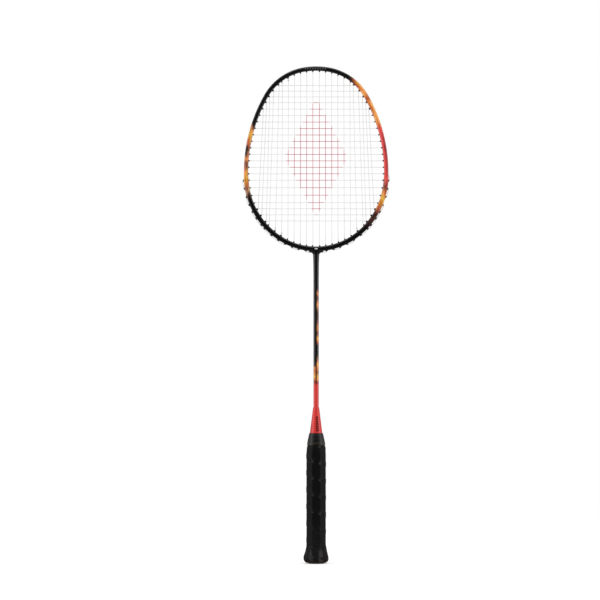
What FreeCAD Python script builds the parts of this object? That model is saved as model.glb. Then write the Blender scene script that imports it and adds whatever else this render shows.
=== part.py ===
"""Badminton racket, strung, in millimetres.

The racket stands upright: +Z runs from the butt to the top of the head, +X to the right of the front
face and -Y out of the front face. The origin is the middle of the flat end of the butt.

Assembly, from the top down: a hollow moulded hoop with a string groove round its upper part, a throat
yoke that closes the hoop and takes the shaft, a T-shaped core bonded inside both, a tapered tubular
shaft, a cone cap, an octagonal wooden handle, a flared butt cap with an end badge, a wound grip with its
staple and finishing tape, 72 nylon grommets, and two strings woven through each other and tied off with
four knots.
"""
import FreeCAD
import Part
import math
import os

from FreeCAD import Vector

# ---- overall
LENGTH = 675.0  # flat end of the butt to the top of the head

# ---- hoop: its centreline is a chain of tangent arcs, and angle 0 points up, 90 to the right
UPPER_WIDTH, LOWER_WIDTH = 5.8, 6.6  # across the tube, seen from the front
WIDEN_START, WIDEN_END = 91.2, 92.6  # degrees between which it grows from one width to the other
HOOP_DEPTH = 10.0  # front to back
HOOP_CORNER = 2.4
HOOP_WALL = 1.0
TOP_RADIUS, SHOULDER_RADIUS, SIDE_RADIUS, LOWER_RADIUS = 102.9, 72.7, 209.2, 101.4
TOP_END, SHOULDER_END, SIDE_END, LOWER_END = 8.8, 60.3, 92.6, 145.2  # degrees where each arc ends
GROOVE_DEPTH, GROOVE_WIDTH = 1.6, 4.6
GROOVE_END = 92.0  # degrees; below this the strings run over the outside of the tube

# ---- throat
YOKE_HALF_ANGLE = 6.6  # the yoke closes the hoop over this much each side of the shaft
YOKE_BOTTOM = 416.0
CORE_HALF_ANGLE = 11.5
CORE_CLEARANCE = 0.05
CORE_STEM_RADIUS = 2.25
CORE_STEM_BOTTOM = 392.0

# ---- shaft
SHAFT_RADIUS = 3.6
SHAFT_TOP_RADIUS = 4.1  # it thickens into the throat
SHAFT_TAPER_START = 386.0
SHAFT_BORE_RADIUS = 2.3
SHAFT_BOTTOM = 62.0
SPIGOT_RADIUS, SPIGOT_LENGTH = 3.4, 5.5

# ---- handle
CORE_ACROSS_FLATS = 22.9
CORE_BOTTOM, CORE_TOP = 7.0, 152.0
CORE_PLUG_LENGTH = 10.0
CONE_TOP, CONE_TOP_RADIUS = 211.8, 4.15
CONE_BOTTOM_RADIUS = 11.6
CONE_WALL = 1.5
CONE_BORE_BOTTOM = 197.0
BADGE_RADIUS, BADGE_THICKNESS = 10.5, 1.2
BUTT_RIM = 0.4  # the cap's end face, a little above the badge
TAPE_BOTTOM, TAPE_TOP = 161.0, 176.5
STAPLE_HEIGHT, STAPLE_WIDTH, STAPLE_LEG, STAPLE_WIRE = 14.0, 9.0, 6.5, 0.4

# (height, width across flats, corner radius) of rounded octagons, from the butt upwards
CAP_SECTIONS = [
    (BUTT_RIM, 22.0, 10.0),
    (1.2, 25.4, 9.0),
    (2.6, 28.8, 6.5),
    (6.4, 30.8, 5.5),
    (13.0, 28.4, 5.0),
    (18.0, 25.6, 3.5),
    (22.0, 24.0, 2.5),
    (27.0, 23.1, 1.2),
]
GRIP_SECTIONS = [
    (1.2, 27.4, 9.0),
    (2.4, 31.0, 8.0),
    (3.8, 33.1, 7.0),
    (6.4, 34.0, 7.0),
    (9.2, 33.5, 7.0),
    (13.2, 31.6, 6.0),
    (17.3, 29.4, 5.2),
    (20.5, 27.9, 4.6),
    (24.0, 26.9, 4.0),
    (30.0, 26.5, 3.0),
    (146.0, 26.5, 3.0),
    (151.0, 26.3, 3.5),
    (156.0, 25.5, 5.0),
    (161.0, 23.6, 8.0),
    (167.0, 21.8, 9.5),
    (173.0, 19.2, 9.0),
]
TAPE_SECTIONS = [
    (TAPE_BOTTOM, 24.4, 8.4),
    (167.0, 22.6, 10.0),
    (172.4, 20.4, 9.8),
    (TAPE_TOP, 18.4, 9.1),
]

# ---- strings
STRING_RADIUS = 0.35
STRING_GAP = 0.05  # between two strings where they cross
WEAVE = STRING_RADIUS + STRING_GAP / 2  # how far a string stands off the middle plane at a crossing
MAINS_A_SIDE = 11
MAIN_START = 4.5  # first main, from the middle plane
MAIN_PITCH_TOP, MAIN_PITCH_BOTTOM = 8.3, 8.5
MAINS_ALONE_TOP, MAINS_ALONE_BOTTOM = 6, 8  # these have a hole of their own
TOP_CROSS_HEIGHT = 649.4
CROSS_GAPS = [7.8] * 3 + [8.8] * 12 + [10.2] * 3 + [8.3] * 3
SHARED_OFFSET = 0.45  # each string's distance from the middle plane in a hole that two share
TAIL_OFFSET = 1.25  # the same, for a tail that passes other holes on its way to its knot
BEND_OUTSIDE, BEND_INSIDE, BEND_CROSSING = 1.0, 1.2, 2.0
CROSSING_MARGIN = 3.0  # no crossing is nearer to a grommet than this
THROAT_SPLAY = 20.0  # degrees that the holes nearest to the shaft lean away from it
THROAT_LIFT = 1.2  # their grommets' flanges stand this much further out, on the thicker throat

# ---- grommets
NOSE = 1.6  # how far a grommet stands into the head
FLANGE, OPEN_FLANGE = 0.8, 1.1  # flange thickness in the groove, and below it
STRING_REST = 0.2  # gap left over a flange, so that a run to the next hole clears its rim
RAMP_REST = 0.45  # the same at the first hole below the groove, where a run slopes more
RAMP_LENGTH = 3.0  # degrees below the groove's end that count as that first hole
NOSE_WALL = 0.25  # at a nose's tip; it is a cone that grows from this to the barrel
NARROW_BORE, NARROW_BARREL, NARROW_FLANGE = 0.65, 1.1, 1.7
WIDE_BORE, WIDE_BARREL, WIDE_FLANGE = 1.15, 1.55, 1.95
HOLE_CLEARANCE = 0.02

# ---- knots
KNOT_TURN_RADIUS, KNOT_WIRE = 0.72, 0.33
KNOT_START, KNOT_STEP, KNOT_TURNS = 1.7, 0.62, 3

Y_AXIS = Vector(0, 1, 0)
Z_AXIS = Vector(0, 0, 1)


# ---------------------------------------------------------------- small helpers
def sin(degrees):
    return math.sin(math.radians(degrees))


def cos(degrees):
    return math.cos(math.radians(degrees))


def bisect(low, high, error):
    """Where error, a function that changes sign between low and high, is zero."""
    rising = error(high) > error(low)
    for _ in range(60):
        middle = (low + high) / 2
        if (error(middle) > 0) == rising:
            high = middle
        else:
            low = middle
    return (low + high) / 2


def polygon_wire(points):
    return Part.makePolygon(points + points[:1])


def turned(profile, centre=Vector(0, 0, 0), axis=Z_AXIS):
    """A solid of revolution. The profile is (radius, height) pairs about the axis through centre."""
    across = Vector(1, 0, 0) if abs(axis.x) < 0.5 else Vector(0, 0, 1)
    across = (across - axis * across.dot(axis)).normalize()
    points = [centre + across * r + axis * h for r, h in profile]
    return Part.Face(polygon_wire(points)).revolve(centre, axis, 360)


def octagon_wire(height, across_flats, corner):
    """A rounded octagon, flat to the front and the sides."""
    reach = (across_flats / 2 - corner) / cos(22.5)
    edges = []
    for k in range(8):
        before = Vector(cos(45 * k - 22.5), sin(45 * k - 22.5), 0) * reach + Z_AXIS * height
        after = Vector(cos(45 * k + 22.5), sin(45 * k + 22.5), 0) * reach + Z_AXIS * height
        out = Vector(cos(45 * k), sin(45 * k), 0) * corner
        middle = Vector(cos(45 * k + 22.5), sin(45 * k + 22.5), 0) * corner
        out_next = Vector(cos(45 * k + 45), sin(45 * k + 45), 0) * corner
        edges.append(Part.LineSegment(before + out, after + out).toShape())
        edges.append(Part.Arc(after + out, after + middle, after + out_next).toShape())
    return Part.Wire(edges)


def octagon_loft(sections):
    return Part.makeLoft([octagon_wire(*section) for section in sections], True, True)


# ---------------------------------------------------------------- the head's outline
def outline_arcs():
    """Right half of the centreline, from the top: (radius, start, end, centre x, centre z)."""
    spans = [
        (TOP_RADIUS, 0.0, TOP_END),
        (SHOULDER_RADIUS, TOP_END, SHOULDER_END),
        (SIDE_RADIUS, SHOULDER_END, SIDE_END),
        (LOWER_RADIUS, SIDE_END, LOWER_END),
    ]
    half_width = sum(r * (sin(end) - sin(start)) for r, start, end in spans)
    bottom_radius = half_width / sin(LOWER_END)  # brings the outline back to the middle
    spans.append((bottom_radius, LOWER_END, 180.0))
    x, z = 0.0, LENGTH - UPPER_WIDTH / 2
    arcs = []
    for radius, start, end in spans:
        centre_x, centre_z = x - radius * sin(start), z - radius * cos(start)
        arcs.append((radius, start, end, centre_x, centre_z))
        x, z = centre_x + radius * sin(end), centre_z + radius * cos(end)
    return arcs


ARCS = outline_arcs()
BOTTOM_RADIUS, BOTTOM_CENTRE = ARCS[-1][0], Vector(0, 0, ARCS[-1][4])


def outward(angle):
    return Vector(sin(angle), 0, cos(angle))


def outline_point(angle):
    """The centreline's point whose outward normal is at this angle, from 0 to 180."""
    radius, _, _, x, z = next(arc for arc in ARCS if arc[1] <= angle <= arc[2])
    return Vector(x, 0, z) + outward(angle) * radius


def hoop_width(angle):
    share = (angle - WIDEN_START) / (WIDEN_END - WIDEN_START)
    return UPPER_WIDTH + (LOWER_WIDTH - UPPER_WIDTH) * min(max(share, 0.0), 1.0)


def nose_tip(angle):
    """The innermost point of a grommet at this angle, on the right half."""
    return outline_point(angle) - outward(angle) * (hoop_width(angle) / 2 + NOSE)


def section_face(angle, centre, radius, low, high, half_depth, corner):
    """A rounded rectangle across the tube, from low to high outward of the centreline."""
    out = outward(angle)
    origin = centre + out * radius

    def at(u, v):
        return origin + out * u + Y_AXIS * v

    slant = corner * (1 - cos(45))
    edges = []
    signs = [(1, 1), (-1, 1), (-1, -1), (1, -1)]
    ends = []
    for su, sv in signs:
        edge_u = high if su > 0 else low
        edge_v = sv * half_depth
        on_side = at(edge_u, edge_v - sv * corner)
        on_face = at(edge_u - su * corner, edge_v)
        middle = at(edge_u - su * slant, edge_v - sv * slant)
        first, last = (on_side, on_face) if su * sv > 0 else (on_face, on_side)
        ends.append((first, last))
        edges.append(Part.Arc(first, middle, last).toShape())
    for (_, last), (first, _) in zip(ends, ends[1:] + ends[:1]):
        edges.append(Part.LineSegment(last, first).toShape())
    return Part.Face(Part.Wire(Part.sortEdges(edges)[0]))


def ring_sector(start, end, low, high, half_depth, corner):
    """The tube's section swept round the outline between two angles, both in one arc of its right half."""
    radius, _, _, x, z = next(arc for arc in ARCS if arc[1] <= (start + end) / 2 <= arc[2])
    centre = Vector(x, 0, z)
    face = section_face(start, centre, radius, low, high, half_depth, corner)
    return face.revolve(centre, Y_AXIS, end - start)


def both_sides(shape):
    return [shape, shape.mirror(Vector(0, 0, 0), Vector(1, 0, 0))]


def sweep_spans(start, end):
    """The stretches between two angles, cut where the arcs meet."""
    cuts = [start] + [arc[2] for arc in ARCS if start < arc[2] < end] + [end]
    return list(zip(cuts, cuts[1:]))


def hoop_ring(start, end, low, high, half_depth, corner):
    """Both halves of a swept ring, from start to end degrees off the top."""
    pieces = []
    for span in sweep_spans(start, end):
        pieces += both_sides(ring_sector(*span, low, high, half_depth, corner))
    return pieces[0].multiFuse(pieces[1:])


# ---------------------------------------------------------------- string holes
class Hole:
    """One string hole, on the right half unless it is mirrored with side -1."""

    def __init__(self, angle, side, wide=False, splay=0.0):
        self.angle, self.side, self.wide = angle, side, wide
        tip = nose_tip(angle)
        axis = outward(angle - splay)
        self.tip = Vector(side * tip.x, 0, tip.z)
        self.axis = Vector(side * axis.x, 0, axis.z)
        self.grooved = angle < GROOVE_END
        self.seat = NOSE + hoop_width(angle)
        if self.grooved:
            self.seat -= GROOVE_DEPTH
        if splay:
            self.seat += THROAT_LIFT
        self.top = self.seat + (FLANGE if self.grooved else OPEN_FLANGE)
        ramp = GROOVE_END < angle < GROOVE_END + RAMP_LENGTH
        self.rest = RAMP_REST if ramp else STRING_REST

    def along(self, distance, y=0.0):
        """A point on the hole's axis, measured outward from the tip of the nose."""
        return self.tip + self.axis * distance + Y_AXIS * y

    def inner_bend(self, y):
        return self.along(-0.4, y)

    def outer_bend(self, y):
        return self.along(self.top + STRING_RADIUS + self.rest, y)

    def barrel_radius(self):
        return WIDE_BARREL if self.wide else NARROW_BARREL

    def drill(self):
        start = self.along(-1.0)
        return Part.makeCylinder(self.barrel_radius() + HOLE_CLEARANCE, 20.0, start, self.axis)

    def grommet(self):
        bore, barrel, flange = (
            (WIDE_BORE, WIDE_BARREL, WIDE_FLANGE)
            if self.wide
            else (NARROW_BORE, NARROW_BARREL, NARROW_FLANGE)
        )
        top, ease = self.top, 0.3
        profile = [
            (bore, 0.0),
            (bore + NOSE_WALL, 0.0),
            (barrel, NOSE - ease),
            (barrel, self.seat),
            (flange, self.seat),
            (flange, top - ease),
            (flange - ease, top),
            (bore + ease, top),
            (bore, top - ease),
        ]
        return turned(profile, self.tip, self.axis)


def cross_heights():
    heights = [TOP_CROSS_HEIGHT]
    for gap in CROSS_GAPS:
        heights.append(heights[-1] - gap)
    return heights


def string_holes():
    """Holes by (kind, number, side). Outer mains share a hole with the first and last crosses."""
    holes = {}
    heights = cross_heights()
    shared_top = MAINS_A_SIDE - MAINS_ALONE_TOP
    shared_bottom = MAINS_A_SIDE - MAINS_ALONE_BOTTOM
    first_shared_bottom = len(heights) - shared_bottom + 1
    tied_bottom = {-1: (6, 7), 1: (7,)}  # a tail comes back in through these mains' holes
    tied_top = {-1: (5,), 1: ()}
    for side in (-1, 1):
        for number, height in enumerate(heights, 1):
            angle = bisect(1.0, 179.0, lambda a: nose_tip(a).z - height)
            shared = number <= shared_top or number >= first_shared_bottom
            holes["cross", number, side] = Hole(angle, side, wide=shared)
        for number in range(1, MAINS_ALONE_TOP + 1):
            offset = MAIN_START + MAIN_PITCH_TOP * (number - 1)
            angle = bisect(0.0, 70.0, lambda a: nose_tip(a).x - offset)
            holes["top", number, side] = Hole(angle, side, wide=number in tied_top[side])
        for number in range(1, MAINS_ALONE_BOTTOM + 1):
            offset = MAIN_START + MAIN_PITCH_BOTTOM * (number - 1)
            angle = bisect(110.0, 180.0, lambda a: nose_tip(a).x - offset)
            splay = THROAT_SPLAY if number == 1 else 0.0
            wide = number in tied_bottom[side]
            holes["bottom", number, side] = Hole(angle, side, wide, splay)
        for number in range(MAINS_ALONE_TOP + 1, MAINS_A_SIDE + 1):
            holes["top", number, side] = holes["cross", number - MAINS_ALONE_TOP, side]
        for number in range(MAINS_ALONE_BOTTOM + 1, MAINS_A_SIDE + 1):
            partner = len(heights) + MAINS_ALONE_BOTTOM + 1 - number
            holes["bottom", number, side] = holes["cross", partner, side]
    return holes


HOLES = string_holes()
CROSSES = len(CROSS_GAPS) + 1


def single_holes():
    """Each hole once, although two names may lead to it."""
    seen = {}
    for hole in HOLES.values():
        seen[id(hole)] = hole
    return list(seen.values())


# ---------------------------------------------------------------- string routes
def main_y(number, end, side):
    """Distance of a main from the middle plane inside its hole at the top or the bottom."""
    hole = HOLES[end, number, side]
    if not hole.wide:
        return 0.0
    behind = end == "bottom" and number == 7  # here the tail takes the front half of the hole
    return -SHARED_OFFSET if behind else SHARED_OFFSET


def cross_y(number, side):
    return -SHARED_OFFSET if HOLES["cross", number, side].wide else 0.0


def main_ends(number, side):
    """A main's top and bottom bends just inside the head."""
    top = HOLES["top", number, side].inner_bend(main_y(number, "top", side))
    bottom = HOLES["bottom", number, side].inner_bend(main_y(number, "bottom", side))
    return top, bottom


def cross_ends(number):
    left = HOLES["cross", number, -1].inner_bend(cross_y(number, -1))
    right = HOLES["cross", number, 1].inner_bend(cross_y(number, 1))
    return left, right


def crossing(number, side, cross):
    """Where a main and a cross meet, in the middle plane, or None near either one's ends."""
    top, bottom = main_ends(number, side)
    left, right = cross_ends(cross)
    share = (top.z - left.z) / (top.z - bottom.z)
    x = top.x + (bottom.x - top.x) * share
    point = Vector(x, 0, left.z)
    ends = [Vector(p.x, 0, p.z) for p in (top, bottom, left, right)]
    inside = 0 < share < 1 and left.x < x < right.x
    if inside and all((point - end).Length > CROSSING_MARGIN for end in ends):
        return point
    return None


def main_is_in_front(number, side, cross):
    """The weave: every second crossing along each string goes over."""
    column = number if side > 0 else 1 - number
    return (column + cross) % 2 == 0


def main_run(number, side):
    """Points of a main's path inside the head, from the top, with the bend radius at each."""
    top, bottom = main_ends(number, side)
    route = [(top, BEND_INSIDE)]
    for cross in range(1, CROSSES + 1):
        point = crossing(number, side, cross)
        if point is not None:
            lift = -WEAVE if main_is_in_front(number, side, cross) else WEAVE
            route.append((point + Y_AXIS * lift, BEND_CROSSING))
    return route + [(bottom, BEND_INSIDE)]


def cross_run(number):
    """The same for a cross, from the left."""
    left, right = cross_ends(number)
    route = [(left, BEND_INSIDE)]
    columns = [(n, -1) for n in range(MAINS_A_SIDE, 0, -1)]
    columns += [(n, 1) for n in range(1, MAINS_A_SIDE + 1)]
    for main, side in columns:
        point = crossing(main, side, number)
        if point is not None:
            lift = WEAVE if main_is_in_front(main, side, number) else -WEAVE
            route.append((point + Y_AXIS * lift, BEND_CROSSING))
    return route + [(right, BEND_INSIDE)]


def outer(hole, y):
    return (hole.outer_bend(y), BEND_OUTSIDE)


def tail(names, y_first, y_passing, y_last, side):
    """A tail outside the head: out at the first hole, over the next ones, and in at the last."""
    holes = [HOLES[kind, number, side] for kind, number in names]
    route = [outer(holes[0], y_first)]
    route += [outer(hole, y_passing) for hole in holes[1:-1]]
    last = holes[-1]
    return route + [outer(last, y_last), (last.along(-0.8, y_last), 0.0)]


MAIN_TAIL = [("bottom", 11), ("bottom", 10), ("bottom", 9), ("bottom", 8), ("bottom", 7)]
CROSS_START_TAIL = [("cross", 1), ("top", 6), ("top", 5)]
CROSS_END_TAIL = [("cross", 22), ("bottom", 8), ("bottom", 7), ("bottom", 6)]


def half_mains(side):
    """One side's mains, from the top of the first main outward to the tail's end."""
    route = []
    for number in range(1, MAINS_A_SIDE + 1):
        run = main_run(number, side)
        first, last = ("top", "bottom") if number % 2 else ("bottom", "top")
        if not number % 2:
            run = run[::-1]
        route.append(outer(HOLES[first, number, side], main_y(number, first, side)))
        route += run
        if number < MAINS_A_SIDE:
            route.append(outer(HOLES[last, number, side], main_y(number, last, side)))
    return route + tail(MAIN_TAIL, SHARED_OFFSET, TAIL_OFFSET, SHARED_OFFSET, side)


def main_route():
    return half_mains(-1)[::-1] + half_mains(1)


def cross_route():
    start = tail(CROSS_START_TAIL, -SHARED_OFFSET, -TAIL_OFFSET, -SHARED_OFFSET, -1)
    route = start[::-1]
    for number in range(1, CROSSES + 1):
        run = cross_run(number) if number % 2 else cross_run(number)[::-1]
        near, far = (-1, 1) if number % 2 else (1, -1)
        if number > 1:
            route.append(outer(HOLES["cross", number, near], cross_y(number, near)))
        route += run
        if number < CROSSES:
            route.append(outer(HOLES["cross", number, far], cross_y(number, far)))
    return route + tail(CROSS_END_TAIL, -SHARED_OFFSET, -TAIL_OFFSET, -SHARED_OFFSET, -1)


def rounded_path(route):
    """A wire of straight runs joined by tangent arcs of the radius that goes with each point."""
    points = [point for point, _ in route]
    edges, start = [], points[0]
    for before, (corner, radius), after in zip(points, route[1:-1], points[2:]):
        into = (corner - before).normalize()
        away = (after - corner).normalize()
        turn = into.getAngle(away)
        reach = radius * math.tan(turn / 2)
        first, last = corner - into * reach, corner + away * reach
        bisector = (away - into).normalize()
        middle = corner + bisector * (radius / math.cos(turn / 2) - radius)
        edges.append(Part.LineSegment(start, first).toShape())
        edges.append(Part.Arc(first, middle, last).toShape())
        start = last
    edges.append(Part.LineSegment(start, points[-1]).toShape())
    return Part.Wire(edges)


def string_solid(route):
    path = rounded_path(route)
    start = path.Edges[0]
    direction = start.tangentAt(start.FirstParameter)
    circle = Part.Circle(start.valueAt(start.FirstParameter), direction, STRING_RADIUS)
    return path.makePipe(Part.Face(Part.Wire([circle.toShape()])))


# ---------------------------------------------------------------- head and throat
def drilled(shape, holes):
    tools = [hole.drill() for hole in holes]
    return shape.cut(tools[0].multiFuse(tools[1:]))


def widening():
    """The short stretch on each side where the tube's width grows."""
    wires = []
    for angle in (WIDEN_START, WIDEN_END):
        half = hoop_width(angle) / 2
        point = outline_point(angle)
        face = section_face(angle, point, 0.0, -half, half, HOOP_DEPTH / 2, HOOP_CORNER)
        wires.append(face.OuterWire)
    return both_sides(Part.makeLoft(wires, True, True))


def make_hoop():
    end = 180.0 - YOKE_HALF_ANGLE
    upper, lower, depth = UPPER_WIDTH / 2, LOWER_WIDTH / 2, HOOP_DEPTH / 2
    upper_tube = hoop_ring(0.0, WIDEN_START, -upper, upper, depth, HOOP_CORNER)
    lower_tube = hoop_ring(WIDEN_END, end, -lower, lower, depth, HOOP_CORNER)
    tube = upper_tube.multiFuse([lower_tube] + widening())
    groove = hoop_ring(0.0, GROOVE_END, upper - GROOVE_DEPTH, upper + 1.0, GROOVE_WIDTH / 2, 0.3)
    upper_span = (-upper + HOOP_WALL, upper - GROOVE_DEPTH - HOOP_WALL)
    lower_span = (-lower + HOOP_WALL, lower - HOOP_WALL)
    bore_depth, bore_corner = depth - HOOP_WALL, 1.0
    upper_bore = hoop_ring(0.0, WIDEN_END, *upper_span, bore_depth, bore_corner)
    lower_bore = hoop_ring(WIDEN_END, end, *lower_span, bore_depth, bore_corner)
    shell = tube.cut(groove).cut(upper_bore).cut(lower_bore)
    return drilled(shell, single_holes())


def throat_flare():
    """The yoke's stem: round where the shaft meets it, and wider where it runs into the hoop."""
    sections = [
        (YOKE_BOTTOM, SHAFT_TOP_RADIUS, SHAFT_TOP_RADIUS),
        (YOKE_BOTTOM + 1.4, 4.12, 4.11),
        (YOKE_BOTTOM + 2.7, 4.22, 4.18),
        (YOKE_BOTTOM + 3.9, 4.5, 4.28),
        (YOKE_BOTTOM + 5.0, 5.25, 4.42),
        (YOKE_BOTTOM + 6.0, 6.5, 4.56),
        (YOKE_BOTTOM + 7.0, 8.2, 4.68),
        (YOKE_BOTTOM + 8.0, 9.6, 4.79),
        (YOKE_BOTTOM + 9.2, 10.3, 4.9),
    ]
    wires = []
    for height, half_width, half_depth in sections:
        centre = Vector(0, 0, height)
        tip = Vector(half_width, 0, height)
        if half_width - half_depth < 0.01:
            curve = Part.Circle(centre, Z_AXIS, half_width)
        else:
            curve = Part.Ellipse(tip, Vector(0, half_depth, height), centre)
        wires.append(Part.Wire([curve.toShape()]))
    return Part.makeLoft(wires, True, False)


def yoke_sector(low, high, half_depth, corner, half_angle):
    """A piece of the hoop's section across the bottom of the head."""
    start = 180.0 - half_angle
    face = section_face(start, BOTTOM_CENTRE, BOTTOM_RADIUS, low, high, half_depth, corner)
    return face.revolve(BOTTOM_CENTRE, Y_AXIS, 2 * half_angle)


def throat_holes():
    return [HOLES["bottom", number, side] for number in (1, 2) for side in (-1, 1)]


def make_core():
    """The T inside the throat: two curved arms in the hoop's ends and a stem in the shaft."""
    half, depth = LOWER_WIDTH / 2 - HOOP_WALL, HOOP_DEPTH / 2 - HOOP_WALL
    gap = CORE_CLEARANCE
    arms = yoke_sector(
        -half + gap, half - gap, depth - gap, HOOP_CORNER - HOOP_WALL - gap, CORE_HALF_ANGLE
    )
    stem_top = BOTTOM_CENTRE.z - BOTTOM_RADIUS
    length = stem_top - CORE_STEM_BOTTOM
    stem = Part.makeCylinder(CORE_STEM_RADIUS, length, Vector(0, 0, CORE_STEM_BOTTOM))
    return drilled(arms.fuse(stem), throat_holes())


def make_yoke():
    half, depth = LOWER_WIDTH / 2, HOOP_DEPTH / 2
    sector = yoke_sector(-half, half, depth, HOOP_CORNER, YOKE_HALF_ANGLE)
    bore = yoke_sector(
        -half + HOOP_WALL,
        half - HOOP_WALL,
        depth - HOOP_WALL,
        HOOP_CORNER - HOOP_WALL,
        YOKE_HALF_ANGLE + 1.0,
    )
    socket_top = YOKE_BOTTOM + SPIGOT_LENGTH + 0.1
    socket = Part.makeCylinder(
        SPIGOT_RADIUS + 0.03, socket_top - YOKE_BOTTOM, Vector(0, 0, YOKE_BOTTOM)
    )
    stem_hole = Part.makeCylinder(CORE_STEM_RADIUS + 0.03, 12.0, Vector(0, 0, YOKE_BOTTOM))
    body = sector.fuse(throat_flare())
    return drilled(body.cut(bore).cut(socket).cut(stem_hole), throat_holes()[:2])


def make_shaft():
    bore = SHAFT_BORE_RADIUS
    profile = [
        (bore, SHAFT_BOTTOM),
        (SHAFT_RADIUS, SHAFT_BOTTOM),
        (SHAFT_RADIUS, SHAFT_TAPER_START),
        (SHAFT_RADIUS + 0.2, SHAFT_TAPER_START + 20.0),
        (SHAFT_TOP_RADIUS, YOKE_BOTTOM),
        (SPIGOT_RADIUS, YOKE_BOTTOM),
        (SPIGOT_RADIUS, YOKE_BOTTOM + SPIGOT_LENGTH),
        (bore, YOKE_BOTTOM + SPIGOT_LENGTH),
    ]
    return turned(profile)


# ---------------------------------------------------------------- handle
def cone_radius(height):
    share = (height - CORE_TOP) / (CONE_TOP - CORE_TOP)
    return CONE_BOTTOM_RADIUS + (CONE_TOP_RADIUS - CONE_BOTTOM_RADIUS) * share


def cone_outside():
    return turned(
        [
            (0, CORE_TOP),
            (CONE_BOTTOM_RADIUS, CORE_TOP),
            (CONE_TOP_RADIUS + 0.15, CONE_TOP - 1.2),
            (CONE_TOP_RADIUS - 0.2, CONE_TOP),
            (0, CONE_TOP),
        ]
    )


def core_plug(clearance):
    """The wooden core's tapered end, which fills the bottom of the cone cap."""
    top = CORE_TOP + CORE_PLUG_LENGTH
    return turned(
        [
            (0, CORE_TOP - 1.0),
            (cone_radius(CORE_TOP) - CONE_WALL - clearance, CORE_TOP - 1.0),
            (cone_radius(CORE_TOP) - CONE_WALL - clearance, CORE_TOP),
            (cone_radius(top) - CONE_WALL - clearance, top),
            (0, top),
        ]
    )


def make_cone_cap():
    hollow = turned(
        [
            (0, CORE_TOP),
            (cone_radius(CORE_TOP) - CONE_WALL, CORE_TOP),
            (cone_radius(CONE_BORE_BOTTOM) - CONE_WALL, CONE_BORE_BOTTOM),
            (0, CONE_BORE_BOTTOM),
        ]
    )
    bore = Part.makeCylinder(SHAFT_RADIUS + 0.02, CONE_TOP - CORE_TOP, Vector(0, 0, CORE_TOP))
    return cone_outside().cut(hollow).cut(bore)


def core_prism():
    wire = octagon_wire(CORE_BOTTOM, CORE_ACROSS_FLATS, 1.0)
    return Part.Face(wire).extrude(Z_AXIS * (CORE_TOP - CORE_BOTTOM))


def make_handle_core(staple):
    bore_length = CORE_TOP + CORE_PLUG_LENGTH - SHAFT_BOTTOM
    bore = Part.makeCylinder(SHAFT_RADIUS + 0.02, bore_length, Vector(0, 0, SHAFT_BOTTOM))
    return core_prism().fuse(core_plug(0.05)).cut(bore).cut(staple)


def badge_recess():
    return Part.makeCylinder(BADGE_RADIUS, BADGE_THICKNESS)


def make_badge():
    ease = 0.3
    return turned(
        [
            (0, 0),
            (BADGE_RADIUS - ease, 0),
            (BADGE_RADIUS, ease),
            (BADGE_RADIUS, BADGE_THICKNESS),
            (0, BADGE_THICKNESS),
        ]
    )


def make_butt_cap(staple):
    return octagon_loft(CAP_SECTIONS).cut(core_prism()).cut(badge_recess()).cut(staple)


def make_staple():
    """A wire staple that pins the end of the grip through the butt cap into the wood, at the back."""
    back = GRIP_SECTIONS[4][1] / 2 - 0.7
    half = STAPLE_WIDTH / 2
    corners = [
        Vector(-half, back - STAPLE_LEG, STAPLE_HEIGHT),
        Vector(-half, back, STAPLE_HEIGHT),
        Vector(half, back, STAPLE_HEIGHT),
        Vector(half, back - STAPLE_LEG, STAPLE_HEIGHT),
    ]
    path = rounded_path(list(zip(corners, [0.0, 0.9, 0.9, 0.0])))
    circle = Part.Circle(corners[0], Y_AXIS, STAPLE_WIRE)
    return path.makePipe(Part.Face(Part.Wire([circle.toShape()])))


def make_grip(staple):
    inside = [octagon_loft(CAP_SECTIONS), core_prism(), cone_outside(), staple]
    grip = octagon_loft(GRIP_SECTIONS)
    for shape in inside:
        grip = grip.cut(shape)
    return grip


def make_tape():
    return octagon_loft(TAPE_SECTIONS).cut(octagon_loft(GRIP_SECTIONS)).cut(cone_outside())


# ---------------------------------------------------------------- knots and grommets
def make_knot(number, end, side):
    """Turns of string round a main, just inside the hole where a tail comes back in."""
    run = main_run(number, side)
    run = run if end == "top" else run[::-1]
    start, direction = run[0][0], (run[1][0] - run[0][0]).normalize()
    turns = []
    for turn in range(KNOT_TURNS):
        centre = start + direction * (KNOT_START + KNOT_STEP * turn)
        turns.append(Part.makeTorus(KNOT_TURN_RADIUS, KNOT_WIRE, centre, direction))
    return turns[0].multiFuse(turns[1:])


def make_knots():
    places = [(5, "top", -1), (6, "bottom", -1), (7, "bottom", -1), (7, "bottom", 1)]
    return Part.makeCompound([make_knot(*place) for place in places])


def grommet_groups():
    """Grommets by where they sit. Each group is one moulding run of equal pieces."""
    groups = {"top_grommets": [], "bottom_grommets": []}
    first_corner = CROSSES - (MAINS_A_SIDE - MAINS_ALONE_BOTTOM) + 1
    for side, word in ((-1, "left"), (1, "right")):
        last_shoulder = MAINS_A_SIDE - MAINS_ALONE_TOP
        spans = {
            "shoulder": range(1, last_shoulder + 1),
            "side": range(last_shoulder + 1, first_corner),
            "corner": range(first_corner, CROSSES + 1),
        }
        for place, numbers in spans.items():
            members = [HOLES["cross", number, side] for number in numbers]
            groups[f"{word}_{place}_grommets"] = members
        groups["top_grommets"] += [HOLES["top", n, side] for n in range(1, MAINS_ALONE_TOP + 1)]
        bottoms = range(1, MAINS_ALONE_BOTTOM + 1)
        groups["bottom_grommets"] += [HOLES["bottom", n, side] for n in bottoms]
    return groups


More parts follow.
